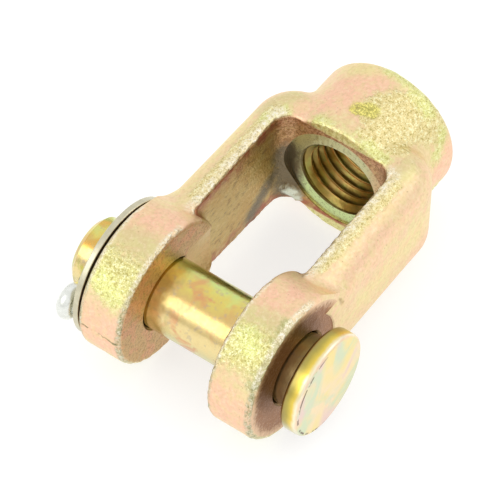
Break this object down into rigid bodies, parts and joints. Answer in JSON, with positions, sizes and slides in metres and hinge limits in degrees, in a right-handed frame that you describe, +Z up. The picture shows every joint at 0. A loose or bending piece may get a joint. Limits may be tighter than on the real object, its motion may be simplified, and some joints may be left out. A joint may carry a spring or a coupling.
{
  "type": "clevis rod end",
  "caption": "Forked rod end with a tapped hub, a loose headed clevis pin, a plain washer and a split pin, for a pivoting pull rod.",
  "frame": {"origin": "where the clevis pin's axis crosses the rod's axis, halfway between the two ears", "axes": "+X along the rod's axis towards the tapped hub; Y along the clevis pin's axis, with the pin's head at -Y and the washer and split pin at +Y; +Z up, across the fork, which lies on its side"},
  "size_m": [0.0728, 0.052, 0.0294],
  "materials": {
    "yellow_zinc_casting": "satin",
    "yellow_zinc_pin": "polished",
    "clear_zinc_washer": "satin",
    "clear_zinc_wire": "satin"
  },
  "bodies": {
    "yoke": {"clevis_yoke": "yellow_zinc_casting"},
    "washer": {"washer": "clear_zinc_washer"},
    "pin": {"clevis_pin": "yellow_zinc_pin", "split_pin": "clear_zinc_wire"}
  },
  "joints": [
    {"name": "pin_end_float", "type": "slide", "parent": "yoke", "child": "washer", "axis": [0, 1, 0], "range_m": [-0.00045, 0.0031]},
    {"name": "pin_turn", "type": "hinge", "parent": "washer", "child": "pin", "pos_m": [0, 0, 0], "axis": [0, 1, 0], "continuous": true}
  ]
}
